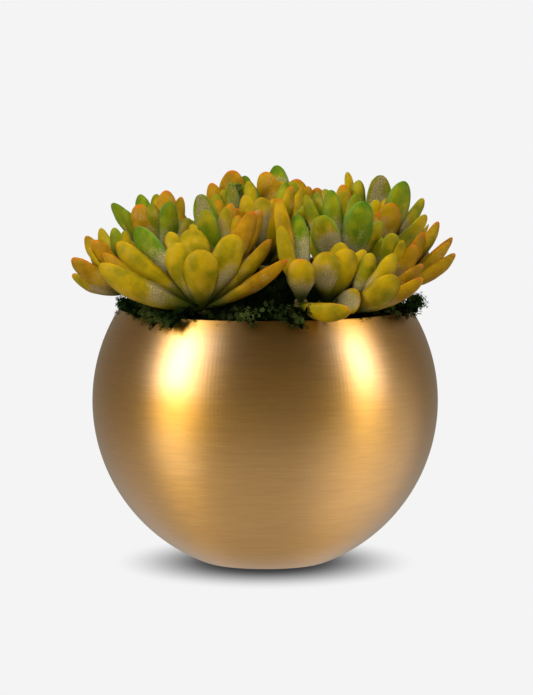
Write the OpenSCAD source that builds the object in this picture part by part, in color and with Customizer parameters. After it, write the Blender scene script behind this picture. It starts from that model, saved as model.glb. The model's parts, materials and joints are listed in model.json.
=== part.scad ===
// Brass ball planter with a lift-out planting of rosette succulents.
// Millimetres, +Z up. The origin is the centre of the flat base, on the surface it stands on.
// +X is to the right seen from the front, and the front faces -Y.

/* [Brass shell] */
// Outside diameter of the ball
ball_d = 178; // [160:1:200]
// Outside diameter of the open mouth
mouth_d = 150; // [140:1:156]
// Diameter of the flat base
base_d = 62; // [50:1:70]
// Thickness of the spun sheet
sheet_t = 1.2; // [0.8:0.1:1.6]

/* [Liner] */
// Outside diameter of the liner's foot
foot_d = 100; // [90:1:104]
// Outside diameter of the liner's wall at the top
liner_d = 135; // [128:1:137]
// Height of the liner's lip above the standing surface
liner_top = 121; // [110:1:124]
// Thickness of the liner's wall
liner_t = 1.4; // [1:0.1:2]
// Number of drainage holes round the liner's foot
drain_holes = 6; // [4:1:8]
// Diameter of a drainage hole
drain_d = 9; // [6:1:12]

/* [Filling] */
// Depth of the drainage grit
grit_h = 20; // [10:1:30]
// Height of the mix where it meets the liner's wall
mix_edge_z = 117; // [100:1:118]
// Height of the crown of the mounded mix
mix_crown_z = 141; // [125:1:146]
// Height of the moss where it meets the mouth of the ball
moss_edge_z = 133; // [128:1:136]
// Height of the crown of the moss
moss_crown_z = 150; // [140:1:154]

/* [Plants] */
// Radius of a stem where it leaves the mix
stem_r = 3; // [2:0.5:4]
// How far the middle of an upright leaf bows outwards, as a share of its length
leaf_bow = 0.05; // [0:0.01:0.1]
// How much further the middle of a level leaf bows
leaf_sag = 0.10; // [0:0.01:0.2]
// Thickness of a leaf, as a share of its width
leaf_plump = 0.34; // [0.25:0.01:0.45]

/* [Hidden] */

// Ball, mouth and base
ball_r = ball_d / 2;
mouth_r = mouth_d / 2;
ball_z = sqrt(ball_r * ball_r - base_d * base_d / 4);
rim_z = ball_z + sqrt(ball_r * ball_r - mouth_r * mouth_r);
hollow_r = ball_r - sheet_t;
mouth_inner_r = sqrt(hollow_r * hollow_r - pow(rim_z - ball_z, 2));
// Clearance between the planting, which lifts out, and the shell
gap = 0.5;

// Liner
foot_r = foot_d / 2;
liner_r = liner_d / 2;
lip_w = 2.4;
lip_h = 3;
liner_z = ball_z - sqrt(hollow_r * hollow_r - foot_r * foot_r) + gap;
liner_slope = (liner_r - foot_r) / (liner_top - liner_z);
function liner_inner_r(z) = foot_r + (z - liner_z) * liner_slope - liner_t;
drain_ring_r = 0.68 * foot_r;

// Filling
floor_z = liner_z + liner_t;
grit_top_z = floor_z + grit_h;
mound_r = liner_inner_r(mix_edge_z);
mound_h = mix_crown_z - mix_edge_z;
mound_ball_r = (mound_r * mound_r + mound_h * mound_h) / (2 * mound_h);
moss_side_r = mouth_inner_r - gap;
moss_rise = moss_crown_z - moss_edge_z;
moss_ball_r = (moss_side_r * moss_side_r + moss_rise * moss_rise) / (2 * moss_rise);
// A tuft is a chain of clumps, each [direction, distance from the axis, height, radius]
tuft_left = [
    [198, 71, 138, 3], [200, 79, 137, 3], [206, 81, 134, 3], [212, 80, 137, 4], [218, 83, 131, 3],
    [223, 80, 136, 4], [228, 84, 128, 3], [231, 80, 136, 4], [236, 84, 127, 3], [240, 79, 137, 3],
    [242, 71, 138, 3]
];
tuft_front = [
    [258, 71, 137, 3], [261, 79, 136, 3], [265, 83, 130, 2.5], [269, 79, 137, 3], [272, 72, 138, 3],
    [276, 79, 137, 3], [280, 83, 131, 2.5], [283, 83, 128, 2.5], [285, 79, 137, 3], [287, 71, 138, 3]
];
tuft_right = [
    [322, 71, 137, 3], [325, 80, 136, 3], [330, 83, 131, 3], [334, 80, 138, 4], [339, 83, 132, 3],
    [343, 80, 138, 4], [348, 82, 134, 3], [352, 80, 137, 3], [354, 71, 138, 3]
];
root_z = 118;
root_in = 0.85;

// Leaf stations: [share of the length, share of the width, share of the thickness]
STATIONS = [[0, 0.24, 0.6], [0.3, 0.66, 0.92], [0.6, 1, 1], [0.82, 0.88, 0.84], [0.95, 0.5, 0.5], [1, 0, 0]];
SIDES = 8;

// A plant is [crown, focus, leaves, whorls]. The crown is where its leaves spring from, and the
// focus is the point, from the crown, that its outer leaves cup round. A leaf is [x, y, z, width,
// turn]: where its tip reaches from the crown, and its turn about its own length in degrees. A
// whorl is [count, first direction, last direction, rise, length, width], with the directions
// and the rise in degrees, for the leaves that fill the heart and the far side.
front_left = [
    [-32, -58, 136], [0, 60, 35],
    [[-51, -6, 21, 15, 0], [-43, 2, 32, 14, 0], [-14, -8, 33, 16, 0], [0, -16, 30, 18, 0],
     [-5, 6, 40, 18, 0], [18, -6, 37, 16, 0], [43, -8, 24, 9, 0], [36, 4, 34, 9, 0],
     [27, 6, 48, 12, 0], [31, 12, 48, 11, 0], [-34, 14, 39, 16, 0], [-50, 6, 26, 9, 0],
     [-17, 8, 38, 12, 0]],
    [[3, 60, 150, 55, 30, 12]]
];
left = [
    [-66, -12, 141], [20, 50, 35],
    [[-33, -6, 16, 12, 0], [-33, 2, 7, 9, 0], [-27, 4, 27, 11, 0], [-22, -8, 26, 13, 0],
     [-20, 10, 31, 11, 0], [-6, -10, 31, 8, 0], [-12, -2, 32, 10, 0]],
    [[4, 90, 190, 35, 32, 12]]
];
back_left = [
    [-53, 22, 150], [0, 40, 40],
    [[-26, -4, 34, 9, 40], [-13, -12, 33, 14, 0], [-13, 6, 38, 11, 0], [-5, -13, 34, 10, 40],
     [4, -14, 35, 12, 0], [-4, 8, 38, 9, 0], [2, 0, 40, 12, 0], [10, 3, 37, 8, 0],
     [14, -9, 26, 10, 0], [-20, -8, 30, 8, 0], [0, -8, 24, 8, 0]],
    [[4, 60, 200, 30, 32, 12]]
];
mid_left = [
    [-24, -14, 150], [0, 40, 40],
    [[-9, 6, 40, 13, 180], [-7, -11, 33, 11, 0], [4, -7, 34, 8, 0], [7, 2, 36, 9, 0],
     [0, 14, 37, 10, 0], [-14, -3, 25, 9, 0], [11, -5, 30, 8, 0]],
    [[3, 20, 160, 50, 28, 11]]
];
centre = [
    [0, 5, 152], [0, 40, 40],
    [[-2, -12, 36, 14, 0], [-11, -4, 37, 11, 0], [-9, 6, 44, 9, 0], [14, -6, 41, 8, 0],
     [20, 2, 40, 8, 0], [5, 0, 35, 9, 0], [12, 10, 43, 10, 0], [8, -16, 34, 9, 0],
     [22, -8, 32, 8, 0], [-16, -8, 30, 9, 0], [18, -4, 19, 10, 0]],
    [[2, 60, 120, 50, 26, 11]]
];
crest_left = [
    [-14, 38, 160], [0, 30, 40],
    [[-15, -4, 33, 11, 0], [-4, 2, 40, 15, 0], [4, 8, 37, 11, 0], [0, -8, 34, 10, 180],
     [-4, -14, 34, 8, 0], [-8, -12, 30, 9, 0], [-13, -13, 28, 8, 0], [6, -10, 34, 14, 180]],
    [[4, 60, 190, 40, 30, 12]]
];
crest_right = [
    [13, 40, 160], [0, 30, 40],
    [[-14, -6, 39, 15, 0], [-8, 6, 42, 13, 0], [-5, -4, 34, 11, 0], [4, -2, 35, 14, 0],
     [10, -4, 31, 9, 0], [15, 0, 30, 9, 0], [1, -12, 34, 10, 0]],
    [[4, -10, 120, 40, 30, 12]]
];
front = [
    [18, -56, 139], [0, 50, 35],
    [[0, -10, 22, 15, 0], [-11, -3, 38, 9, 0], [-2, 6, 44, 12, 0], [23, -30, -2, 11, -20],
     [-12, 6, 52, 9, 0]],
    []
];
front_right = [
    [30, -48, 138], [0, 50, 35],
    [[1, -11, 26, 16, 0], [13, -6, 27, 16, 0], [21, 1, 26, 10, 0], [18, -18, 3, 13, 125],
     [9, 2, 30, 12, 0]],
    []
];
rim_right = [
    [43, -52, 134], [0, 50, 35],
    [[23, -14, 18, 15, 0], [37, 0, 23, 9, 0], [36, -6, 16, 9, 0], [23, 1, 28, 11, 0],
     [11, 4, 29, 10, 0]],
    []
];
right = [
    [60, -12, 141], [-20, 50, 35],
    [[17, -10, 24, 12, 0], [10, -13, 26, 7, 0], [5, -12, 30, 12, 0], [22, -2, 29, 13, 20],
     [37, 6, 26, 9, 0], [35, -2, 24, 8, 0], [38, 0, 18, 10, 0], [30, 8, 34, 9, 0],
     [-4, -6, 32, 9, 0]],
    [[3, 20, 120, 35, 32, 12]]
];
high_right = [
    [58, 22, 156], [0, 40, 40],
    [[2, 6, 42, 14, 180], [15, -2, 39, 14, 0], [8, -11, 28, 14, 0], [26, -6, 21, 13, 20],
     [25, 5, 29, 9, 0], [-1, -8, 30, 9, 0], [7, 6, 32, 9, 0], [-6, -9, 22, 9, 0]],
    [[4, 0, 130, 30, 32, 12]]
];
mid_right = [
    [38, -16, 150], [0, 40, 40],
    [[13, -12, 37, 16, 0], [-10, -14, 30, 15, 0], [-5, -3, 43, 11, 0], [2, 2, 42, 9, 0],
     [9, -5, 41, 9, 0], [22, -2, 26, 11, 0], [21, 4, 30, 10, 0], [-13, 4, 41, 8, 0],
     [-18, 0, 40, 8, 0], [-14, -6, 24, 9, 0], [-16, 2, 18, 10, 0]],
    [[3, 60, 160, 50, 28, 11]]
];
far_right = [
    [44, 30, 157], [0, 40, 40],
    [[0, 4, 42, 8, 40], [5, -2, 38, 9, 0], [-4, -6, 36, 10, 0], [-14, 0, 33, 9, 0],
     [-18, 2, 34, 9, 0]],
    [[4, 50, 170, 40, 30, 12]]
];
rear_left = [
    [-38, 58, 150], [0, 0, 50], [],
    [[5, 73, 228, 14, 38, 15], [4, 52, 247, 40, 35, 14], [3, 17, 262, 66, 28, 11]]
];
rear = [
    [2, 66, 148], [0, 0, 50], [],
    [[5, 17, 166, 14, 38, 15], [4, -4, 184, 40, 35, 14], [3, 8, 249, 66, 28, 11]]
];
rear_right = [
    [42, 56, 150], [0, 0, 50], [],
    [[5, -47, 113, 14, 38, 15], [4, -66, 131, 40, 35, 14], [3, -55, 187, 66, 28, 11]]
];

function unit(v) = v / norm(v);
function span(i, count) = count > 1 ? i / (count - 1) : 0;
function heading(az, rise) = [cos(rise) * cos(az), cos(rise) * sin(az), sin(rise)];
// Every other leaf of a whorl stands higher, and each third one is full length
function whorl_leaf(w, i) =
    let (az = w[1] + (w[2] - w[1]) * span(i, w[0]), rise = w[3] + 5 * (i % 2))
    let (tip = w[4] * (1 - 0.05 * (i % 3)) * heading(az, rise))
    [tip.x, tip.y, tip.z, w[5], 8 * (i % 3) - 6];

// The sheet metal ball, cut flat at the base and open at the mouth
module pot_shell() {
    color("darkgoldenrod")
    difference() {
        intersection() {
            translate([0, 0, ball_z]) sphere(r = ball_r, $fn = 120);
            cylinder(r = ball_r + 1, h = rim_z, $fn = 120);
        }
        intersection() {
            translate([0, 0, ball_z]) sphere(r = hollow_r, $fn = 120);
            translate([0, 0, sheet_t]) cylinder(r = ball_r + 1, h = rim_z, $fn = 120);
        }
    }
}

// A tapered plastic pot with a lip, standing inside the ball on its foot
module liner() {
    color("dimgray")
    difference() {
        union() {
            translate([0, 0, liner_z])
                cylinder(r1 = foot_r, r2 = liner_r, h = liner_top - liner_z, $fn = 96);
            translate([0, 0, liner_top - lip_h])
                cylinder(r = liner_r + lip_w, h = lip_h, $fn = 96);
        }
        filling(floor_z, liner_top + 1);
        for (i = [0 : drain_holes - 1]) {
            rotate([0, 0, i * 360 / drain_holes])
                translate([drain_ring_r, 0, liner_z - 1]) cylinder(d = drain_d, h = liner_t + 2, $fn = 32);
        }
    }
}

// The space inside the liner's wall from one height to another
module filling(low_z, high_z) {
    translate([0, 0, low_z])
        cylinder(r1 = liner_inner_r(low_z), r2 = liner_inner_r(high_z), h = high_z - low_z, $fn = 96);
}

// Washed grit in the foot of the liner
module drainage_grit() {
    color("slategray")
    filling(floor_z, grit_top_z);
}

// The mounded top of the mix
module mound() {
    translate([0, 0, mix_crown_z - mound_ball_r]) sphere(r = mound_ball_r, $fn = 120);
}

// Gritty potting mix, from the grit up to the mound
module potting_mix() {
    color("saddlebrown")
    intersection() {
        filling(grit_top_z, mix_crown_z);
        mound();
    }
}

// Moss laid over the mound and the liner's lip, as far out as the mouth of the ball
module moss_mat() {
    color("darkgreen")
    difference() {
        intersection() {
            translate([0, 0, moss_crown_z - moss_ball_r]) sphere(r = moss_ball_r, $fn = 120);
            translate([0, 0, liner_top]) cylinder(r = moss_side_r, h = moss_crown_z - liner_top, $fn = 96);
        }
        mound();
    }
}

// One clump of a tuft
module clump(c) {
    rotate([0, 0, c[0]]) translate([c[1], 0, c[2]]) sphere(r = c[3], $fn = 8);
}

// A tuft of moss hooked over the rim and clear of it
module moss_tuft(clumps) {
    color("darkolivegreen")
    union() {
        for (k = [0 : len(clumps) - 2]) {
            hull() {
                clump(clumps[k]);
                clump(clumps[k + 1]);
            }
        }
    }
}

module moss_tuft_left() { moss_tuft(tuft_left); }
module moss_tuft_front() { moss_tuft(tuft_front); }
module moss_tuft_right() { moss_tuft(tuft_right); }

// The points round a leaf at one station
function leaf_ring(tip, face, plant_w, st) =
    let (len = norm(tip), along = tip / len, side = cross(along, face))
    let (bow = len * (leaf_bow + leaf_sag * (1 - abs(along.z))) * 4 * st[0] * (1 - st[0]))
    let (mid = tip * st[0] - face * bow)
    [for (i = [0 : SIDES - 1]) mid
        + side * (cos(i * 360 / SIDES) * plant_w / 2 * st[1])
        + face * (sin(i * 360 / SIDES) * plant_w / 2 * leaf_plump * st[2])];

// The upper face of a leaf looks to the plant's focus, then turns about the leaf's length
function leaf_face(tip, focus, turn) =
    let (along = unit(tip), look = focus - tip / 2, flat = unit(look - (look * along) * along))
    flat * cos(turn) + cross(along, flat) * sin(turn);

// A fleshy leaf from the crown, as one convex solid
module leaf(l, focus) {
    tip = [l[0], l[1], l[2]];
    face = leaf_face(tip, focus, l[4]);
    skin = [for (st = STATIONS) each leaf_ring(tip, face, l[3], st)];
    hull()
        polyhedron(points = skin, faces = [[for (i = [0 : len(skin) - 1]) i]]);
}

// A short stem from the mix up to the crown
module stem(crown) {
    hull() {
        translate(crown) sphere(r = stem_r + 1, $fn = 8);
        translate([crown.x * root_in, crown.y * root_in, root_z]) sphere(r = stem_r, $fn = 8);
    }
}

// A rosette: its stem, its outer leaves and the leaves that fill its heart and far side
module succulent(plant, tint) {
    color(tint)
    union() {
        stem(plant[0]);
        translate(plant[0]) {
            for (l = plant[2]) leaf(l, plant[1]);
            for (w = plant[3]) {
                for (i = [0 : w[0] - 1]) leaf(whorl_leaf(w, i), [0, 0, 40]);
            }
        }
    }
}

module succulent_front_left() { succulent(front_left, "goldenrod"); }
module succulent_left() { succulent(left, "peru"); }
module succulent_back_left() { succulent(back_left, "olivedrab"); }
module succulent_mid_left() { succulent(mid_left, "olivedrab"); }
module succulent_centre() { succulent(centre, "goldenrod"); }
module succulent_crest_left() { succulent(crest_left, "peru"); }
module succulent_crest_right() { succulent(crest_right, "goldenrod"); }
module succulent_front() { succulent(front, "gold"); }
module succulent_front_right() { succulent(front_right, "goldenrod"); }
module succulent_rim_right() { succulent(rim_right, "goldenrod"); }
module succulent_right() { succulent(right, "peru"); }
module succulent_high_right() { succulent(high_right, "olivedrab"); }
module succulent_mid_right() { succulent(mid_right, "olivedrab"); }
module succulent_far_right() { succulent(far_right, "olivedrab"); }
module succulent_rear_left() { succulent(rear_left, "olivedrab"); }
module succulent_rear() { succulent(rear, "goldenrod"); }
module succulent_rear_right() { succulent(rear_right, "olivedrab"); }

pot_shell();
liner();
drainage_grit();
potting_mix();
moss_mat();
moss_tuft_left();
moss_tuft_front();
moss_tuft_right();
succulent_front_left();
succulent_left();
succulent_back_left();
succulent_mid_left();
succulent_centre();
succulent_crest_left();
succulent_crest_right();
succulent_front();
succulent_front_right();
succulent_rim_right();
succulent_right();
succulent_high_right();
succulent_mid_right();
succulent_far_right();
succulent_rear_left();
succulent_rear();
succulent_rear_right();
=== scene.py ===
import json
import math

import bmesh
import bpy
from mathutils import Matrix, Vector

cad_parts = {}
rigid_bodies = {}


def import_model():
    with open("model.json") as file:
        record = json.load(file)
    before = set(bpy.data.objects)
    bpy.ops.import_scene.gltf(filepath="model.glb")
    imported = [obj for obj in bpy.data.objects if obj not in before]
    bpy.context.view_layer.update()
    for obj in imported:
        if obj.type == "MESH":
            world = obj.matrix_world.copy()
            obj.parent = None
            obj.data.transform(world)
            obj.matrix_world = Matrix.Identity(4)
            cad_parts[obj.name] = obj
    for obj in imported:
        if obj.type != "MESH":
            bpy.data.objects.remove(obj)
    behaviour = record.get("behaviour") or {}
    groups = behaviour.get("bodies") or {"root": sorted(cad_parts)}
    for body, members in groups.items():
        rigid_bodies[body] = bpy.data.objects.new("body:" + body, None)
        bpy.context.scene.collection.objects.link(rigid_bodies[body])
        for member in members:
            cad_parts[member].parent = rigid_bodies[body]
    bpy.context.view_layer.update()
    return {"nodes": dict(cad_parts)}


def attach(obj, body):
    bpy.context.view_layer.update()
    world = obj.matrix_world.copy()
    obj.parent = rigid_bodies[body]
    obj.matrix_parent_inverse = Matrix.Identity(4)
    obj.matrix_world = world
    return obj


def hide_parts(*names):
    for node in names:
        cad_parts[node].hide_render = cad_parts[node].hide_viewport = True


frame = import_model()

# ---------------------------------------------------------------- View and light
# The planter stands on a plain pale surface under soft studio light. A tall softbox with a bright
# middle on each side makes the two highlights, and the dark room in front the brown between them.

VIEW_FROM = 2.2
VIEW_HEIGHT = math.radians(5.6)
VIEW_AIM = Vector((0.0007, 0, 0.1107))
VIEW_LENS = 221.3
LIGHTS_AIM = Vector((0, 0, 0.1))


class Signal:
    """A socket of a node tree, so that maths on it reads as an expression and adds Math nodes."""

    def __init__(self, net, socket):
        self.net = net
        self.socket = socket

    def math(self, operation, *others):
        sockets = dict(enumerate((self, *others)))
        return self.net.add("ShaderNodeMath", dict(operation=operation), sockets)[0]

    def __add__(self, other):
        return self.math("ADD", other)

    def __radd__(self, other):
        return self.math("ADD", other)

    def __sub__(self, other):
        return self.math("SUBTRACT", other)

    def __rsub__(self, other):
        return self.net.add("ShaderNodeMath", dict(operation="SUBTRACT"), {0: other, 1: self})[0]

    def __mul__(self, other):
        return self.math("MULTIPLY", other)

    def __rmul__(self, other):
        return self.math("MULTIPLY", other)

    def __truediv__(self, other):
        return self.math("DIVIDE", other)

    def __pow__(self, other):
        return self.math("POWER", other)

    def between(self, low, high):
        """0 below low, 1 above high, smooth in between."""
        settings = dict(interpolation_type="SMOOTHSTEP")
        sockets = {"Value": self, "From Min": low, "From Max": high}
        return self.net.add("ShaderNodeMapRange", settings, sockets)[0]


class Net:
    """A node tree being built. add() takes a node's type, its settings and what its sockets hold."""

    def __init__(self, tree):
        self.tree = tree

    def add(self, kind, settings=None, sockets=None):
        node = self.tree.nodes.new(kind)
        for key, value in (settings or {}).items():
            setattr(node, key, value)
        for key, value in (sockets or {}).items():
            socket = node.inputs[key]
            if isinstance(value, Signal):
                self.tree.links.new(value.socket, socket)
            else:
                socket.default_value = value
        return [Signal(self, out) for out in node.outputs]

    def vector(self, operation, *values, **more):
        """Vector maths: the vector that comes out, or the number for a length or a dot product."""
        sockets = {**dict(enumerate(values)), **more}
        out = self.add("ShaderNodeVectorMath", dict(operation=operation), sockets)
        return out[1] if operation in ("LENGTH", "DOT_PRODUCT") else out[0]

    def xyz(self, vector):
        return self.add("ShaderNodeSeparateXYZ", None, {0: vector})

    def join(self, x, y, z):
        return self.add("ShaderNodeCombineXYZ", None, {0: x, 1: y, 2: z})[0]


def srgb(red, green, blue):
    """A colour from its 0 to 255 screen values."""
    return tuple(((c / 255 + 0.055) / 1.055) ** 2.4 if c > 10 else c / 3295 for c in (red, green, blue))


class Finish(Net):
    """A material whose Principled shader gets constants at once and varying colours later."""

    def __init__(self, name, **constants):
        self.material = bpy.data.materials.new(name)
        self.material.use_nodes = True
        super().__init__(self.material.node_tree)
        self.shader = self.tree.nodes["Principled BSDF"]
        for key, value in constants.items():
            self.shader.inputs[key.replace("_", " ")].default_value = value

    def feed(self, name, signal):
        self.tree.links.new(signal.socket, self.shader.inputs[name])

    def blend(self, factor, first, second):
        settings = dict(data_type="RGBA", clamp_factor=True)
        colours = {6: first, 7: second}
        colours = {k: v if isinstance(v, Signal) else (*v, 1) for k, v in colours.items()}
        return self.add("ShaderNodeMix", settings, {0: factor, **colours})[2]

    def noise(self, place, scale, detail=3.0, roughness=0.5):
        sockets = {"Vector": place, "Scale": scale, "Detail": detail, "Roughness": roughness}
        return self.add("ShaderNodeTexNoise", None, sockets)[0]

    def bump(self, height, depth, strength=1.0):
        sockets = {"Strength": strength, "Distance": depth, "Height": height}
        self.feed("Normal", self.add("ShaderNodeBump", None, sockets)[0])

    def place(self):
        return self.add("ShaderNodeTexCoord")[3]

    def attribute(self, name):
        return self.add("ShaderNodeAttribute", dict(attribute_name=name))[2]


def camera_matrix():
    """The camera stands in front of the pot and looks a little down at its middle."""
    towards = Vector((0, -math.cos(VIEW_HEIGHT), math.sin(VIEW_HEIGHT)))
    right = Vector((1, 0, 0))
    up = towards.cross(right)
    turn = Matrix((right, up, towards)).transposed().to_4x4()
    return Matrix.Translation(VIEW_AIM + towards * VIEW_FROM) @ turn


camera = bpy.data.objects.new("camera", bpy.data.cameras.new("camera"))
camera.data.lens = VIEW_LENS
camera.data.clip_end = 100
camera.matrix_world = camera_matrix()
bpy.context.collection.objects.link(camera)
bpy.context.scene.camera = camera
bpy.context.scene.view_settings.view_transform = "Standard"


def softbox(name, bearing, height, distance, size, power, warmth=(1, 1, 1), mirrored=True):
    """An area light aimed at the pot. bearing is degrees to the right of the camera, round the pot."""
    lamp = bpy.data.lights.new(name, "AREA")
    lamp.shape = "RECTANGLE"
    lamp.size, lamp.size_y = size
    lamp.energy = power
    lamp.color = warmth
    box = bpy.data.objects.new(name, lamp)
    a, h = math.radians(bearing), math.radians(height)
    spot = Vector((math.sin(a) * math.cos(h), -math.cos(a) * math.cos(h), math.sin(h))) * distance
    box.location = spot + LIGHTS_AIM
    box.rotation_euler = spot.to_track_quat("Z", "Y").to_euler()
    box.visible_glossy = mirrored
    box.visible_camera = False
    bpy.context.collection.objects.link(box)


softbox("softbox_left", -61, 26, 1.5, (1.0, 1.1), 10.5, (1, 0.97, 0.92))
softbox("softbox_left_lamp", -62, 24, 1.45, (0.42, 0.78), 9.5, (1, 0.98, 0.95))
softbox("softbox_right", 73, 22, 1.5, (0.7, 1.1), 5.5, (1, 0.96, 0.9))
softbox("softbox_right_lamp", 70, 24, 1.45, (0.34, 0.6), 5, (1, 0.98, 0.95))
softbox("fill_front", 2, 50, 1.8, (0.5, 0.4), 15, mirrored=False)
softbox("top_light", 20, 84, 1.6, (1.0, 1.0), 12, mirrored=False)
softbox("fill_back", 188, 46, 1.8, (1.2, 0.9), 6, mirrored=False)


WARM_DIM = (1, 0.86, 0.6, 1)
PALE_BRIGHT = (1, 0.98, 0.95, 1)


def lit_room(name):
    """A dark room over a pale floor that is brightest near the pot, with a glow low on each side."""
    world = bpy.data.worlds.new(name)
    world.use_nodes = True
    room = Net(world.node_tree)
    way = room.add("ShaderNodeTexCoord")[0]
    _, depth, height = room.xyz(way)
    ceiling = 0.04 + (1 - height.between(0.05, 0.8)) * 0.18
    # The floor under and behind the pot lies in its shade, so it is dimmer and warmer.
    behind = depth.between(-0.15, 0.45) * (1 - height.between(-0.95, -0.5))
    near_floor = (1 - height.between(-0.75, 0.05)) * (0.43 - behind * 0.13)
    left = room.vector("DOT_PRODUCT", way, (-0.84, -0.34, -0.42)).between(0.92, 1.0)
    right = room.vector("DOT_PRODUCT", way, (0.87, -0.09, -0.47)).between(0.60, 1.0)
    light = ceiling + near_floor + left * 0.9 + right * 0.55
    cool = (light - behind * 0.3).between(0.05, 0.6)
    sockets = {0: cool, 6: WARM_DIM, 7: PALE_BRIGHT}
    colour = room.add("ShaderNodeMix", dict(data_type="RGBA"), sockets)[2]
    backdrop = room.tree.nodes["Background"]
    room.tree.links.new(light.socket, backdrop.inputs["Strength"])
    room.tree.links.new(colour.socket, backdrop.inputs["Color"])
    return world


# Size, offset and tone of the shadow painted into the floor's glow under the pot.
SHADOW_X, SHADOW_Y, SHADOW_FORWARD = 0.055, 0.068, 0.003
SHADOW_TONE = (0.05, 0.05, 0.052)
SURFACE_TONE = (0.905, 0.905, 0.905)
SURFACE_HALF = 30


def pale_surface():
    """An evenly glowing surface, with the pot's soft shadow painted into its glow, drawn out to the front
    and the back.
    """
    f = Finish("pale_surface", Base_Color=(0, 0, 0, 1), Specular_IOR_Level=0.0, Roughness=1.0,
               Emission_Strength=1.0)
    x, y, _ = f.xyz(f.place())
    away = f.vector("LENGTH", f.join(x / SHADOW_X, (y + SHADOW_FORWARD) / SHADOW_Y, 0.0))
    f.feed("Emission Color", f.blend(away.between(0.45, 1.45), SHADOW_TONE, SURFACE_TONE))
    return f.material


bpy.context.scene.world = lit_room("studio")
surface = bpy.data.meshes.new("surface")
corners = [(x * SURFACE_HALF, y * SURFACE_HALF, 0) for x, y in ((-1, -1), (1, -1), (1, 1), (-1, 1))]
surface.from_pydata(corners, [], [(0, 1, 2, 3)])
surface.materials.append(pale_surface())
floor = bpy.data.objects.new("floor", surface)
floor.visible_glossy = False
floor.visible_diffuse = False
bpy.context.collection.objects.link(floor)

# ---------------------------------------------------------------- Brass ball
# Sheet brass spun into a ball with a flat base and an open mouth, brushed round its axis and
# lacquered. The grain runs round the ball, so light spreads up and down it.

BALL_R = 0.089
BASE_R = 0.031
BALL_Z = math.sqrt(BALL_R ** 2 - BASE_R ** 2)
MOUTH_R = 0.075
SHEET = 0.0012
BASE_ROUNDING = 0.0008
EDGE_ROUNDING = 0.0004
ROUND_STEPS, CLIMB_STEPS = 257, 121
BRASS_DEEP, BRASS_PALE, BRASS_TAN = (196, 140, 36), (216, 160, 56), (182, 128, 66)


class Shaping(Net):
    """A Geometry Nodes tree being built, with named inputs."""

    def __init__(self, name, **inputs):
        tree = bpy.data.node_groups.new(name, "GeometryNodeTree")
        super().__init__(tree)
        tree.interface.new_socket("Geometry", in_out="INPUT", socket_type="NodeSocketGeometry")
        tree.interface.new_socket("Geometry", in_out="OUTPUT", socket_type="NodeSocketGeometry")
        self.ids = {}
        for key, kind in inputs.items():
            title = key.replace("_", " ")
            socket = tree.interface.new_socket(title, in_out="INPUT", socket_type="NodeSocket" + kind)
            self.ids[key] = socket.identifier
        start = tree.nodes.new("NodeGroupInput")
        self.start = {key: Signal(self, out) for key, out in zip(["Geometry", *inputs], start.outputs)}

    def finish(self, geometry):
        end = self.tree.nodes.new("NodeGroupOutput")
        self.tree.links.new(geometry.socket, end.inputs[0])

    def named(self, name, kind="FLOAT"):
        return self.add("GeometryNodeInputNamedAttribute", dict(data_type=kind), {"Name": name})[0]

    def noise(self, place, scale, detail=2.0):
        return self.add("ShaderNodeTexNoise", None, {"Vector": place, "Scale": scale, "Detail": detail})

    def dressed(self, geometry):
        """Ends the tree with its material, once the instances are real."""
        sockets = {"Geometry": geometry, "Material": self.start["Finish"]}
        self.finish(self.add("GeometryNodeSetMaterial", None, sockets)[0])


def new_piece(name, mesh):
    piece = bpy.data.objects.new(name, mesh)
    bpy.context.collection.objects.link(piece)
    return piece


def grow(piece, shaping, finishing=(), **values):
    """Runs a tree on a piece, then its finishing modifiers, and keeps the result as a plain mesh."""
    change = piece.modifiers.new("shape", "NODES")
    change.node_group = shaping.tree
    for key, value in values.items():
        change[shaping.ids[key]] = value
    for kind, settings in finishing:
        extra = piece.modifiers.new(kind.lower(), kind)
        for key, value in settings.items():
            setattr(extra, key, value)
    settled = bpy.data.meshes.new_from_object(piece.evaluated_get(bpy.context.evaluated_depsgraph_get()))
    piece.modifiers.clear()
    old = piece.data
    piece.data = settled
    settled.name = old.name + "_made"


def spun_ball_shaping():
    """A grid wrapped into a ball from the middle of its base up to the mouth, flat underneath."""
    s = Shaping("spun_ball", Ball_Radius="Float", Centre_Height="Float", Mouth_Angle="Float",
                Finish="Material")
    sockets = {"Size X": 1.0, "Size Y": 1.0, "Vertices X": ROUND_STEPS, "Vertices Y": CLIMB_STEPS}
    grid = s.add("GeometryNodeMeshGrid", None, sockets)[0]
    x, y, _ = s.xyz(s.add("GeometryNodeInputPosition")[0])
    turn = (x + 0.5) * math.tau
    climb = (y + 0.5) * s.start["Mouth_Angle"]
    out = climb.math("SINE") * s.start["Ball_Radius"]
    up = s.start["Centre_Height"] - climb.math("COSINE") * s.start["Ball_Radius"]
    up = up.math("SMOOTH_MAX", 0.0, BASE_ROUNDING)
    spot = s.join(turn.math("COSINE") * out, turn.math("SINE") * out, up)
    skin = s.add("GeometryNodeSetPosition", None, {"Geometry": grid, "Position": spot})[0]
    skin = s.add("GeometryNodeMergeByDistance", None, {"Geometry": skin, "Distance": 1e-6})[0]
    s.dressed(s.add("GeometryNodeRealizeInstances", None, {0: skin})[0])
    return s


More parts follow.
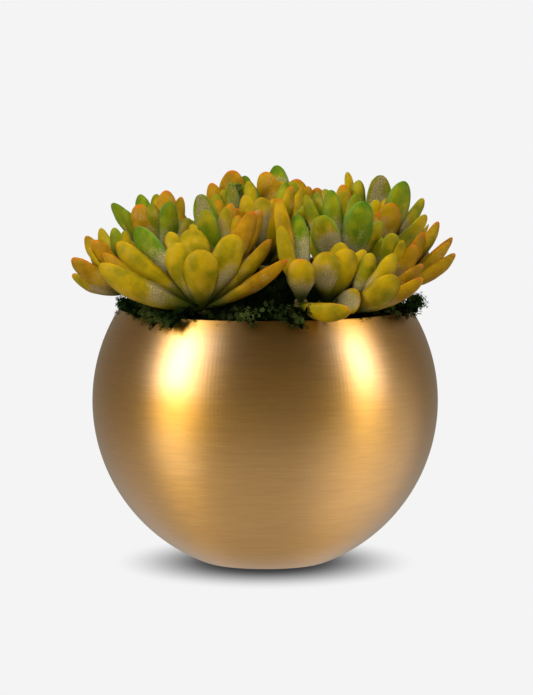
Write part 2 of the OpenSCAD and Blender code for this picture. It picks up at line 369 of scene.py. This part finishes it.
def brushed_brass():
    f = Finish("brushed_brass", Metallic=1.0, Anisotropic=0.8, Anisotropic_Rotation=0.25,
               Coat_Weight=1.0, Coat_Roughness=0.29, Coat_IOR=1.9)
    x, y, z = f.xyz(f.place())
    grain = f.noise(f.join(x * 75, y * 75, z * 2000), 1.0, 3.0, 0.65)
    bands = f.noise(f.join(x * 40, y * 40, z * 700), 1.0, 3.0, 0.6)
    cloud = f.noise(f.place(), 18.0, 3.0)
    brushing = (grain * 0.65 + bands * 0.35).between(0.25, 0.75)
    colour = f.blend(brushing, srgb(*BRASS_DEEP), srgb(*BRASS_PALE))
    colour = f.blend(cloud.between(0.55, 0.8) * 0.3, colour, srgb(*BRASS_TAN))
    f.feed("Base Color", colour)
    f.feed("Roughness", 0.42 + (grain - 0.5) * 0.14 + (cloud - 0.5) * 0.06)
    f.bump(grain + bands * 0.2, 0.00003, 0.5)
    return f.material


ball = new_piece("brass_ball", bpy.data.meshes.new("brass_ball"))
mouth_angle = math.pi - math.asin(MOUTH_R / BALL_R)
sheet_finishing = [
    ("SOLIDIFY", dict(thickness=SHEET, offset=-1, use_even_offset=True)),
    ("BEVEL", dict(width=EDGE_ROUNDING, segments=3, limit_method="ANGLE", angle_limit=1.0))]
grow(ball, spun_ball_shaping(), sheet_finishing,
     Ball_Radius=BALL_R, Centre_Height=BALL_Z, Mouth_Angle=mouth_angle, Finish=brushed_brass())
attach(ball, "pot")
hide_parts("pot_shell")

# ---------------------------------------------------------------- Liner, grit and potting mix
# A moulded nursery pot stands in the ball on its foot and lifts out with the planting. Washed grit
# fills its foot, under a dark mix of bark and peat that the moss hides.


def speckled(name, dark, light, size, rough, depth):
    """A loose filling of grains, each in its own tone between dark and light."""
    f = Finish(name)
    place = f.place()
    lumps = f.add("ShaderNodeTexVoronoi", dict(feature="F1"), {"Vector": place, "Scale": size})
    fine = f.noise(place, size * 3, 4.0)
    f.feed("Base Color", f.blend(f.xyz(lumps[1])[0], dark, light))
    f.feed("Roughness", rough + fine * 0.1)
    f.bump(lumps[0] * -1 + fine * 0.4, depth)
    return f.material


def moulded_plastic():
    f = Finish("moulded_black_plastic", Base_Color=(0.018, 0.018, 0.017, 1))
    grain = f.noise(f.place(), 900.0, 3.0)
    f.feed("Roughness", 0.5 + grain * 0.15)
    f.bump(grain, 0.0001)
    return f.material


def dress(node, material):
    node.data.materials.clear()
    node.data.materials.append(material)


nodes = frame["nodes"]
grit = speckled("washed_grit", srgb(105, 98, 88), srgb(170, 163, 150), 330.0, 0.7, 0.001)
mix = speckled("bark_mix", srgb(38, 26, 18), srgb(84, 60, 40), 260.0, 0.85, 0.0015)
dress(nodes["liner"], moulded_plastic())
dress(nodes["drainage_grit"], grit)
dress(nodes["potting_mix"], mix)

# ---------------------------------------------------------------- Moss
# Preserved moss is packed over the mix as far as the mouth, and tufts of it hang over the rim at
# the front and both sides. It is a dark springy mat with star-shaped fronds standing out of it.

MAT_R = 0.0728
MAT_EDGE_Z = 0.131
MAT_RISE = 0.017
MAT_TURN_DOWN = 0.012
TUFT_INSET = 0.0020
FROND_WHORLS = ((0.35, 0.34), (0.68, 0.42), (1.0, 0.30))
FROND_FOOT_R = 0.03
LEAFLET_HALF = 0.05


def moss_finish():
    f = Finish("moss", Specular_IOR_Level=0.0)
    place = f.place()
    patch = f.noise(place, 70.0, 3.0)
    fine = f.noise(place, 900.0, 2.0)
    tip = f.attribute("reach")
    x, y, _ = f.xyz(place)
    # Painted light: tufts hanging past the rim are painted paler, where light reaches them. The mat's
    # near-black is partly the moss's own dark and partly painted shade under the leaves.
    past_rim_painted_light = f.vector("LENGTH", f.join(x, y, 0.0)).between(0.073, 0.079)
    dark = f.blend(patch.between(0.35, 0.65), srgb(3, 6, 2), srgb(7, 12, 4))
    pale = f.blend(patch.between(0.5, 0.68), srgb(30, 50, 16), srgb(92, 104, 50))
    paleness_and_painted_light = (0.08 + fine * 0.35) + past_rim_painted_light * (0.5 + fine * 0.8)
    f.feed("Base Color", f.blend(tip ** 1.3 * paleness_and_painted_light, dark, pale))
    f.feed("Roughness", 0.75 + fine * 0.2)
    f.bump(fine, 0.0003)
    return f.material


def frond_form():
    """A frond one unit tall: a thin stem with whorls of narrow folded leaflets."""
    form = bmesh.new()
    reach = form.verts.layers.float.new("reach")

    def corner(x, y, z, far):
        v = form.verts.new((x, y, z))
        v[reach] = far
        return v

    foot = [corner(FROND_FOOT_R * math.cos(a), FROND_FOOT_R * math.sin(a), 0, 0) for a in (0, 2.1, 4.2)]
    head = corner(0, 0, 1, 0.8)
    for i in range(3):
        form.faces.new((foot[i], foot[(i + 1) % 3], head))
    for k, (height, length) in enumerate(FROND_WHORLS):
        for i in range(6):
            a = math.tau * i / 6 + k * 0.55
            c, s = math.cos(a), math.sin(a)
            lift = 0.12 + 0.10 * k

            def at(out, side, up, far):
                return corner(c * out - s * side, s * out + c * side, height + up, far)

            root, tip = at(0, 0, 0, 0.2), at(length, 0, lift, 1)
            left = at(length * 0.5, LEAFLET_HALF, lift * 0.35, 0.6)
            right = at(length * 0.5, -LEAFLET_HALF, lift * 0.35, 0.6)
            form.faces.new((root, right, tip))
            form.faces.new((root, tip, left))
    mesh = bpy.data.meshes.new("frond_form")
    form.to_mesh(mesh)
    form.free()
    return mesh


def mossy_shaping():
    """Keeps the mat it grows on and plants fronds all over it."""
    s = Shaping("mossy", Frond="Object", Spacing="Float", Low="Float", High="Float", Seed="Int",
                Finish="Material")
    mat, seed = s.start["Geometry"], s.start["Seed"]
    sockets = {"Mesh": mat, "Distance Min": s.start["Spacing"], "Density Max": 500000.0, "Seed": seed}
    scatter = dict(distribute_method="POISSON")
    spots, _, turn = s.add("GeometryNodeDistributePointsOnFaces", scatter, sockets)
    sockets = {0: (-0.75, -0.75, 0.0), 1: (0.75, 0.75, 6.28), "Seed": seed}
    tilt = s.add("FunctionNodeRandomValue", dict(data_type="FLOAT_VECTOR"), sockets)[0]
    sockets = {"Rotation": turn, "Rotate By": tilt}
    lean = s.add("FunctionNodeRotateRotation", dict(rotation_space="LOCAL"), sockets)[0]
    sockets = {2: s.start["Low"], 3: s.start["High"], "Seed": seed}
    size = s.add("FunctionNodeRandomValue", dict(data_type="FLOAT"), sockets)[1]
    frond = s.add("GeometryNodeObjectInfo", None, {"Object": s.start["Frond"]})[-1]
    sockets = {"Points": spots, "Instance": frond, "Rotation": lean, "Scale": size}
    fronds = s.add("GeometryNodeInstanceOnPoints", None, sockets)[0]
    both = s.tree.nodes.new("GeometryNodeJoinGeometry")
    s.tree.links.new(fronds.socket, both.inputs[0])
    s.tree.links.new(mat.socket, both.inputs[0])
    s.dressed(s.add("GeometryNodeRealizeInstances", None, {0: Signal(s, both.outputs[0])})[0])
    return s


def mat_mesh():
    """The top of the mat: a low dome of rings, with lumps and a turned-down edge."""
    form = bmesh.new()
    rings, sides = 44, 132
    rows = []
    for i in range(1, rings + 1):
        t = i / rings
        r = MAT_R * min(1, t * 1.06)
        row = []
        for k in range(sides):
            a = math.tau * k / sides
            lump = 0.0016 * math.sin(5 * a + 60 * r) * math.sin(9 * a - 110 * r)
            lump += 0.0009 * math.sin(23 * a + 300 * r)
            drop = MAT_TURN_DOWN * max(0.0, (t - 0.94) / 0.06)
            dome = MAT_EDGE_Z + MAT_RISE * (1 - (r / MAT_R) ** 2)
            z = dome + lump * min(1, 6 * (1 - t) + 0.3) - drop
            row.append(form.verts.new((r * math.cos(a), r * math.sin(a), z)))
        rows.append(row)
    top = form.verts.new((0, 0, MAT_EDGE_Z + MAT_RISE))
    foot = form.verts.new((0, 0, MAT_EDGE_Z - MAT_TURN_DOWN))
    for k in range(sides):
        n = (k + 1) % sides
        form.faces.new((top, rows[0][k], rows[0][n]))
        form.faces.new((foot, rows[-1][n], rows[-1][k]))
        for i in range(rings - 1):
            form.faces.new((rows[i][k], rows[i + 1][k], rows[i + 1][n], rows[i][n]))
    mesh = bpy.data.meshes.new("moss_mat")
    form.to_mesh(mesh)
    form.free()
    return mesh


def tuft_mesh(node):
    """A lumpy core a little inside the tuft's clumps, which its fronds fill out."""
    form = bmesh.new()
    form.from_mesh(nodes[node].data)
    bmesh.ops.remove_doubles(form, verts=form.verts, dist=1e-6)
    bmesh.ops.recalc_face_normals(form, faces=form.faces)
    for _ in range(2):
        bmesh.ops.smooth_vert(form, verts=form.verts, factor=0.5,
                              use_axis_x=True, use_axis_y=True, use_axis_z=True)
    for v, n in [(v, v.normal.copy()) for v in form.verts]:
        v.co -= n * TUFT_INSET
    mesh = bpy.data.meshes.new(node)
    form.to_mesh(mesh)
    form.free()
    return mesh


frond = new_piece("frond_form", frond_form())
moss = moss_finish()
mossy = mossy_shaping()
for node, mesh, spacing, low, high, seed in (
        ("moss_mat", mat_mesh(), 0.0022, 0.0022, 0.0044, 3),
        ("moss_tuft_left", tuft_mesh("moss_tuft_left"), 0.0011, 0.0018, 0.0040, 5),
        ("moss_tuft_front", tuft_mesh("moss_tuft_front"), 0.0011, 0.0018, 0.0038, 7),
        ("moss_tuft_right", tuft_mesh("moss_tuft_right"), 0.0011, 0.0018, 0.0040, 9)):
    piece = new_piece(node + "_fronds", mesh)
    grow(piece, mossy, Frond=frond, Spacing=spacing, Low=low, High=high, Seed=seed, Finish=moss)
    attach(piece, "planting")
    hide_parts(node)
bpy.data.objects.remove(frond)

# ---------------------------------------------------------------- Succulents
# Seventeen rosettes of fleshy paddle leaves, each on a short stem rooted in the mix. Leaves are
# green, olive or amber, with a pale bloom low down, and the riper ones flush red at tip and margin.

# A plant is its crown and then, measured from the crown, the point that its leaves face, its leaves
# and its whorls, in mm. A leaf is its tip (x, y, z), its width, its turn in degrees and its tone. A
# whorl is a count, its first and last bearing, its rise in degrees, and its leaves' length and width.
PLANTS = {
    "front_left": ((-32, -58, 136), (0, 60, 35), [
        (-51, -6, 21, 15, 0, 5), (-43, 2, 32, 14, 0, 5), (-14, -8, 33, 16, 0, 4), (0, -16, 30, 18, 0, 5),
        (-5, 6, 40, 18, 0, 5), (18, -6, 37, 16, 0, 5), (43, -8, 24, 9, 0, 8), (36, 4, 34, 9, 0, 7),
        (27, 6, 48, 12, 0, 8), (31, 12, 48, 11, 0, 8), (-34, 14, 39, 16, 0, 1), (-50, 6, 26, 9, 0, 7),
        (-17, 8, 38, 12, 0, 4)
    ], [(3, 60, 150, 55, 30, 12)]),
    "left": ((-66, -12, 141), (20, 50, 35), [
        (-33, -6, 16, 12, 0, 7), (-33, 2, 7, 9, 0, 6), (-27, 4, 27, 11, 0, 6), (-22, -8, 26, 13, 0, 7),
        (-20, 10, 31, 11, 0, 3), (-6, -10, 31, 8, 0, 3), (-12, -2, 32, 10, 0, 2)
    ], [(4, 90, 190, 35, 32, 12)]),
    "back_left": ((-53, 22, 150), (0, 40, 40), [
        (-26, -4, 34, 9, 40, 1), (-13, -12, 33, 14, 0, 7), (-13, 6, 38, 11, 0, 1), (-5, -13, 34, 10, 40, 2),
        (4, -14, 35, 12, 0, 1), (-4, 8, 38, 9, 0, 2), (2, 0, 40, 12, 0, 8), (10, 3, 37, 8, 0, 7),
        (14, -9, 26, 10, 0, 2), (-20, -8, 30, 8, 0, 2), (0, -8, 24, 8, 0, 8)
    ], [(4, 60, 200, 30, 32, 12)]),
    "mid_left": ((-24, -14, 150), (0, 40, 40), [
        (-9, 6, 40, 13, 180, 2), (-7, -11, 33, 11, 0, 2), (4, -7, 34, 8, 0, 3), (7, 2, 36, 9, 0, 7),
        (0, 14, 37, 10, 0, 8), (-14, -3, 25, 9, 0, 3), (11, -5, 30, 8, 0, 6)
    ], [(3, 20, 160, 50, 28, 11)]),
    "centre": ((0, 5, 152), (0, 40, 40), [
        (-2, -12, 36, 14, 0, 5), (-11, -4, 37, 11, 0, 5), (-9, 6, 44, 9, 0, 3), (14, -6, 41, 8, 0, 6),
        (20, 2, 40, 8, 0, 5), (5, 0, 35, 9, 0, 6), (12, 10, 43, 10, 0, 2), (8, -16, 34, 9, 0, 7),
        (22, -8, 32, 8, 0, 2), (-16, -8, 30, 9, 0, 8), (18, -4, 19, 10, 0, 4)
    ], [(2, 60, 120, 50, 26, 11)]),
    "crest_left": ((-14, 38, 160), (0, 30, 40), [
        (-15, -4, 33, 11, 0, 8), (-4, 2, 40, 15, 0, 7), (4, 8, 37, 11, 0, 1), (0, -8, 34, 10, 180, 1),
        (-4, -14, 34, 8, 0, 1), (-8, -12, 30, 9, 0, 3), (-13, -13, 28, 8, 0, 3), (6, -10, 34, 14, 180, 2)
    ], [(4, 60, 190, 40, 30, 12)]),
    "crest_right": ((13, 40, 160), (0, 30, 40), [
        (-14, -6, 39, 15, 0, 7), (-8, 6, 42, 13, 0, 0), (-5, -4, 34, 11, 0, 4), (4, -2, 35, 14, 0, 7),
        (10, -4, 31, 9, 0, 6), (15, 0, 30, 9, 0, 8), (1, -12, 34, 10, 0, 2)
    ], [(4, -10, 120, 40, 30, 12)]),
    "front": ((18, -56, 139), (0, 50, 35), [
        (0, -10, 22, 15, 0, 6), (-11, -3, 38, 9, 0, 5), (-2, 6, 44, 12, 0, 1), (23, -30, -2, 11, -20, 6),
        (-12, 6, 52, 9, 0, 7)
    ], []),
    "front_right": ((30, -48, 138), (0, 50, 35), [
        (1, -11, 26, 16, 0, 5), (13, -6, 27, 16, 0, 5), (21, 1, 26, 10, 0, 4), (18, -18, 3, 13, 125, 6),
        (9, 2, 30, 12, 0, 4)
    ], []),
    "rim_right": ((43, -52, 134), (0, 50, 35), [
        (23, -14, 18, 15, 0, 5), (37, 0, 23, 9, 0, 8), (36, -6, 16, 9, 0, 7), (23, 1, 28, 11, 0, 4),
        (11, 4, 29, 10, 0, 3)
    ], []),
    "right": ((60, -12, 141), (-20, 50, 35), [
        (17, -10, 24, 12, 0, 8), (10, -13, 26, 7, 0, 4), (5, -12, 30, 12, 0, 3), (22, -2, 29, 13, 20, 8),
        (37, 6, 26, 9, 0, 8), (35, -2, 24, 8, 0, 7), (38, 0, 18, 10, 0, 8), (30, 8, 34, 9, 0, 7),
        (-4, -6, 32, 9, 0, 2)
    ], [(3, 20, 120, 35, 32, 12)]),
    "high_right": ((58, 22, 156), (0, 40, 40), [
        (2, 6, 42, 14, 180, 2), (15, -2, 39, 14, 0, 1), (8, -11, 28, 14, 0, 7), (26, -6, 21, 13, 20, 3),
        (25, 5, 29, 9, 0, 3), (-1, -8, 30, 9, 0, 3), (7, 6, 32, 9, 0, 7), (-6, -9, 22, 9, 0, 8)
    ], [(4, 0, 130, 30, 32, 12)]),
    "mid_right": ((38, -16, 150), (0, 40, 40), [
        (13, -12, 37, 16, 0, 0), (-10, -14, 30, 15, 0, 2), (-5, -3, 43, 11, 0, 1), (2, 2, 42, 9, 0, 3),
        (9, -5, 41, 9, 0, 2), (22, -2, 26, 11, 0, 2), (21, 4, 30, 10, 0, 7), (-13, 4, 41, 8, 0, 1),
        (-18, 0, 40, 8, 0, 3), (-14, -6, 24, 9, 0, 2), (-16, 2, 18, 10, 0, 3)
    ], [(3, 60, 160, 50, 28, 11)]),
    "far_right": ((44, 30, 157), (0, 40, 40), [
        (0, 4, 42, 8, 40, 3), (5, -2, 38, 9, 0, 2), (-4, -6, 36, 10, 0, 7), (-14, 0, 33, 9, 0, 2),
        (-18, 2, 34, 9, 0, 8)
    ], [(4, 50, 170, 40, 30, 12)]),
    "rear_left": ((-38, 58, 150), (0, 0, 50), [], [
        (5, 73, 228, 14, 38, 15), (4, 52, 247, 40, 35, 14), (3, 17, 262, 66, 28, 11)]),
    "rear": ((2, 66, 148), (0, 0, 50), [], [
        (5, 17, 166, 14, 38, 15), (4, -4, 184, 40, 35, 14), (3, 8, 249, 66, 28, 11)]),
    "rear_right": ((42, 56, 150), (0, 0, 50), [], [
        (5, -47, 113, 14, 38, 15), (4, -66, 131, 40, 35, 14), (3, -55, 187, 66, 28, 11)]),
}

WHORL_FOCUS = Vector((0, 0, 0.04))
RIPEST = 9
LEAF_BOW, LEAF_SAG, LEAF_CURL, LEAF_PLUMP = 0.05, 0.10, 0.04, 0.36
LEAF_LUMPS = 0.0022
WIDEST, THICKEST = 0.62, 0.5
ROOT_Z, ROOT_IN = 0.118, 0.85
STEM_R, STEM_PAST_CROWN = 0.0030, 0.002


def leaf_face(tip, focus, turn):
    """Which way the upper face looks: to the focus, then turned about the leaf's own length."""
    along = tip.normalized()
    look = focus - tip / 2
    flat = (look - along * look.dot(along)).normalized()
    return flat * math.cos(turn) + along.cross(flat) * math.sin(turn)


def whorl_leaf(count, first, last, rise, length, width, i):
    """Leaves of a whorl by rule: every other one stands higher, and each third is full length."""
    az = math.radians(first + (last - first) * i / (count - 1))
    up = math.radians(rise + 5 * (i % 2))
    reach = length * (1 - 0.05 * (i % 3))
    tip = (reach * math.cos(up) * math.cos(az), reach * math.cos(up) * math.sin(az), reach * math.sin(up))
    return (*tip, width, 8 * (i % 3) - 6, (i * 3 + count + int(abs(first)) % 5) % 9)


def leaf_width(v):
    """The width at a share v of the length: narrow at the crown, blunt at the tip."""
    if v < WIDEST:
        return 0.26 + 0.74 * math.sin(math.pi / 2 * v / WIDEST) ** 1.6
    return math.sqrt(max(0, 1 - ((v - WIDEST) / (1 - WIDEST)) ** 2.3))


def leaf_depth(v):
    """The thickness at a share v of the length: thinner at the crown, rounded off at the tip."""
    if v < THICKEST:
        return 0.6 + 0.4 * math.sin(math.pi * v)
    return math.sqrt(max(0, 1 - ((v - THICKEST) / (1 - THICKEST)) ** 2.6))


def leaf_form():
    """One leaf a unit long, wide and thick, along +Z: +Y is its upper face, flatter and channelled."""
    form = bmesh.new()
    along, across, upper = (form.verts.layers.float.new(n) for n in ("along", "across", "upper"))
    rings, sides = 22, 20
    rows = []
    for i in range(1, rings):
        v = (1 - math.cos(math.pi * i / rings)) / 2
        row = []
        for k in range(sides):
            a = math.tau * k / sides
            x, lift = math.cos(a), math.sin(a)
            deep = 0.30 if lift > 0 else 0.62
            y = lift * deep * (1 - 0.22 * abs(x) ** 3) * leaf_depth(v) + 0.20 * x * x * leaf_width(v)
            p = form.verts.new((x * leaf_width(v) / 2, y, v))
            p[along], p[across], p[upper] = v, x, max(0, lift)
            row.append(p)
        rows.append(row)
    foot, tip = form.verts.new((0, 0, 0)), form.verts.new((0, 0, 1))
    tip[along] = 1
    for k in range(sides):
        n = (k + 1) % sides
        form.faces.new((foot, rows[0][n], rows[0][k]))
        form.faces.new((tip, rows[-1][k], rows[-1][n]))
        for i in range(rings - 2):
            form.faces.new((rows[i][k], rows[i][n], rows[i + 1][n], rows[i + 1][k]))
    bmesh.ops.recalc_face_normals(form, faces=form.faces)
    mesh = bpy.data.meshes.new("leaf_form")
    form.to_mesh(mesh)
    form.free()
    return mesh


def rosette_shaping():
    """One leaf at each point, laid and sized by the point's own values, then bowed and softened."""
    s = Shaping("rosette", Leaf="Object", Lumps="Float", Finish="Material")
    leaf = s.add("GeometryNodeObjectInfo", None, {"Object": s.start["Leaf"]})[-1]
    lie, size = s.named("lie", "FLOAT_VECTOR"), s.named("size", "FLOAT_VECTOR")
    sockets = {"Points": s.start["Geometry"], "Instance": leaf, "Rotation": lie, "Scale": size}
    leaves = s.add("GeometryNodeInstanceOnPoints", None, sockets)[0]
    skin = s.add("GeometryNodeRealizeInstances", None, {0: leaves})[0]
    v = s.named("along")
    face = s.named("face", "FLOAT_VECTOR")
    bow = s.named("bow") * (v * (1 - v) * -4) + s.named("curl") * v ** 4
    apart = s.vector("ADD", s.add("GeometryNodeInputPosition")[0], face)
    lumps = (s.noise(apart, 75.0)[0] - 0.5) * s.start["Lumps"] * v.between(0.0, 0.25)
    normal = s.add("GeometryNodeInputNormal")[0]
    bent = s.vector("ADD", s.vector("SCALE", face, Scale=bow), s.vector("SCALE", normal, Scale=lumps))
    skin = s.add("GeometryNodeSetPosition", None, {"Geometry": skin, "Offset": bent})[0]
    s.dressed(s.add("GeometryNodeSetShadeSmooth", None, {"Geometry": skin})[0])
    return s


def leaf_finish():
    f = Finish("succulent_leaf", Subsurface_Radius=(0.003, 0.0012, 0.0002), Subsurface_Weight=0.08,
               Specular_IOR_Level=0.06)
    place = f.place()
    v, x = f.attribute("along"), f.attribute("across").math("ABSOLUTE")
    tone, seed, upper = f.attribute("tone"), f.attribute("seed"), f.attribute("upper")
    own = f.vector("ADD", place, f.join(seed, seed * 1.7, seed * 2.3))
    mottle = f.noise(own, 110.0, 4.0)
    blotch = f.noise(own, 60.0, 3.0)
    fine = f.noise(own, 1300.0, 4.0, 0.7)
    green = f.blend(mottle.between(0.35, 0.7), srgb(80, 102, 4), srgb(126, 130, 10))
    olive = f.blend(mottle.between(0.3, 0.7), srgb(120, 108, 2), srgb(170, 138, 5))
    amber = f.blend(mottle.between(0.3, 0.7), srgb(122, 88, 1), srgb(158, 114, 3))
    # Tone 0 of the tables is green, 3 to 6 olive and 9 amber, and the tip ripens a little ahead.
    ripe = tone + (v - 0.6) * 0.15 + (blotch - 0.5) * 0.8
    colour = f.blend(ripe.between(0.08, 0.42), green, olive)
    colour = f.blend(ripe.between(0.62, 0.95), colour, amber)
    edge = x.between(0.68, 0.95) * v.between(0.4, 0.7) + v.between(0.88, 1.0)
    capped = edge.math("MINIMUM", 1.0) * (1 - tone.between(0.05, 0.4)) * 0.7
    colour = f.blend(capped, colour, srgb(58, 98, 8))
    # Painted highlight: a paler line along the margins of the greener leaves, where their edges catch the
    # light.
    rim = (1 - tone.between(0.2, 0.5)) * x.between(0.8, 0.97) * v.between(0.3, 0.6)
    colour = f.blend(rim * 0.5, colour, srgb(112, 140, 52))
    margin = x.between(0.86, 1.0) * v.between(0.6, 0.95) * tone.between(0.4, 0.85)
    flush = v.between(0.94, 1.0) * tone.between(0.4, 0.85)
    colour = f.blend((margin * 0.4 + flush * 0.5) * (0.3 + blotch), colour, srgb(206, 74, 12))
    # The bloom is a pale wax, thick on the lower half and the upper face, and rubbed in patches.
    lower = (1 - v.between(0.35, 0.90)) * (1 - tone.between(0.2, 0.5) * 0.3)
    worn = (blotch - 0.56) * 1.7 + (fine - 0.5) * 1.2 + (mottle - 0.5) * 1.2
    dusty = (seed.math("FRACT") - 0.55) * 0.6 + (0.4 - tone).math("MAXIMUM", 0.0) * 0.5
    flat = upper * 0.8 * (1 - x.between(0.6, 0.85))
    bloom = (lower + flat + worn * 1.3 + dusty).between(0.2, 0.95)
    colour = f.blend(bloom * 0.8, colour, srgb(128, 118, 86))
    colour = f.blend(fine.between(0.46, 0.72) * (0.04 + bloom * 0.5), colour, srgb(196, 186, 140))
    # Where the leaves crowd together round the crown, they are green and thin-skinned. Painted shade
    # darkens them there, and a painted contact shadow darkens the lower part of their margins.
    colour = f.blend((1 - v.between(0.16, 0.46)) * 0.85, colour, srgb(52, 74, 10))
    shade = (1 - v.between(0.10, 0.55)) * 0.5
    shade = shade + x.between(0.80, 1.0) * (1 - v.between(0.55, 0.85)) * 0.5
    colour = f.blend(shade.math("MINIMUM", 0.75), colour, (0, 0, 0))
    f.feed("Base Color", colour)
    f.feed("Roughness", 0.44 + bloom * 0.25 + (fine - 0.5) * 0.12)
    f.bump(fine + mottle * 0.8, 0.00025, 0.6)
    return f.material


def rosette_points(name, crown, focuses, leaves):
    """A point at the crown for each leaf, with how that leaf lies, its size, bend, tone and seed."""
    mesh = bpy.data.meshes.new(name)
    mesh.from_pydata([crown] * len(leaves), [], [])
    kinds = dict(lie="FLOAT_VECTOR", size="FLOAT_VECTOR", face="FLOAT_VECTOR",
                 bow="FLOAT", curl="FLOAT", tone="FLOAT", seed="FLOAT")
    for key, kind in kinds.items():
        mesh.attributes.new(key, kind, "POINT")
    layers = {key: mesh.attributes[key].data for key in kinds}
    for i, ((x, y, z, width, turn, tone), focus) in enumerate(zip(leaves, focuses)):
        tip = Vector((x, y, z)) / 1000
        along, length = tip.normalized(), tip.length
        face = leaf_face(tip, focus, math.radians(turn))
        layers["lie"][i].vector = Matrix((face.cross(along), face, along)).transposed().to_euler()
        layers["size"][i].vector = (width / 1000, width * LEAF_PLUMP / 1000, length)
        layers["face"][i].vector = face
        layers["bow"][i].value = length * (LEAF_BOW + LEAF_SAG * (1 - abs(along.z)))
        layers["curl"][i].value = length * LEAF_CURL
        layers["tone"][i].value = tone / RIPEST
        layers["seed"][i].value = (i * 0.618 + len(name) * 0.37) % 1 + i
    return mesh


def stem_mesh(crown):
    """A ringed stem from the mix to the crown, thickest where the leaves part from it."""
    form = bmesh.new()
    foot = Vector((crown.x * ROOT_IN, crown.y * ROOT_IN, ROOT_Z))
    rings, sides = 16, 12
    rows = []
    for i in range(rings + 1):
        t = i / rings
        r = STEM_R * (0.9 + 0.25 * t + 0.10 * math.sin(i * 2.1)) * (0.5 if i in (0, rings) else 1)
        centre = foot.lerp(crown + Vector((0, 0, STEM_PAST_CROWN)), t)
        bearings = [math.tau * k / sides for k in range(sides)]
        ring = [centre + Vector((r * math.cos(a), r * math.sin(a), 0)) for a in bearings]
        rows.append([form.verts.new(spot) for spot in ring])
    for i in range(rings):
        for k in range(sides):
            n = (k + 1) % sides
            form.faces.new((rows[i][k], rows[i][n], rows[i + 1][n], rows[i + 1][k]))
    form.faces.new(rows[0][::-1])
    form.faces.new(rows[-1])
    mesh = bpy.data.meshes.new("stem")
    form.to_mesh(mesh)
    form.free()
    return mesh


def stem_finish():
    f = Finish("stem", Roughness=0.8)
    rings = f.noise(f.vector("MULTIPLY", f.place(), (60, 60, 500)), 1.0, 3.0)
    f.feed("Base Color", f.blend(rings.between(0.35, 0.65), srgb(72, 66, 26), srgb(128, 112, 56)))
    f.bump(rings, 0.0006)
    return f.material


leaf_source = new_piece("leaf_form", leaf_form())
skin = leaf_finish()
bark = stem_finish()
rosette = rosette_shaping()
for name, (crown, focus, leaves, whorls) in PLANTS.items():
    crown = Vector(crown) / 1000
    focus = Vector(focus) / 1000
    ruled = [whorl_leaf(*whorl, i) for whorl in whorls for i in range(whorl[0])]
    focuses = [focus] * len(leaves) + [WHORL_FOCUS] * len(ruled)
    mesh = rosette_points("succulent_" + name, crown, focuses, leaves + ruled)
    plant = new_piece("rosette_" + name, mesh)
    grow(plant, rosette, Leaf=leaf_source, Lumps=LEAF_LUMPS, Finish=skin)
    stem = stem_mesh(crown)
    stem.materials.append(bark)
    stalk = new_piece("stem_" + name, stem)
    for piece in (plant, stalk):
        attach(piece, "planting")
    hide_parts("succulent_" + name)
    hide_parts("succulent_" + name)
bpy.data.objects.remove(leaf_source)
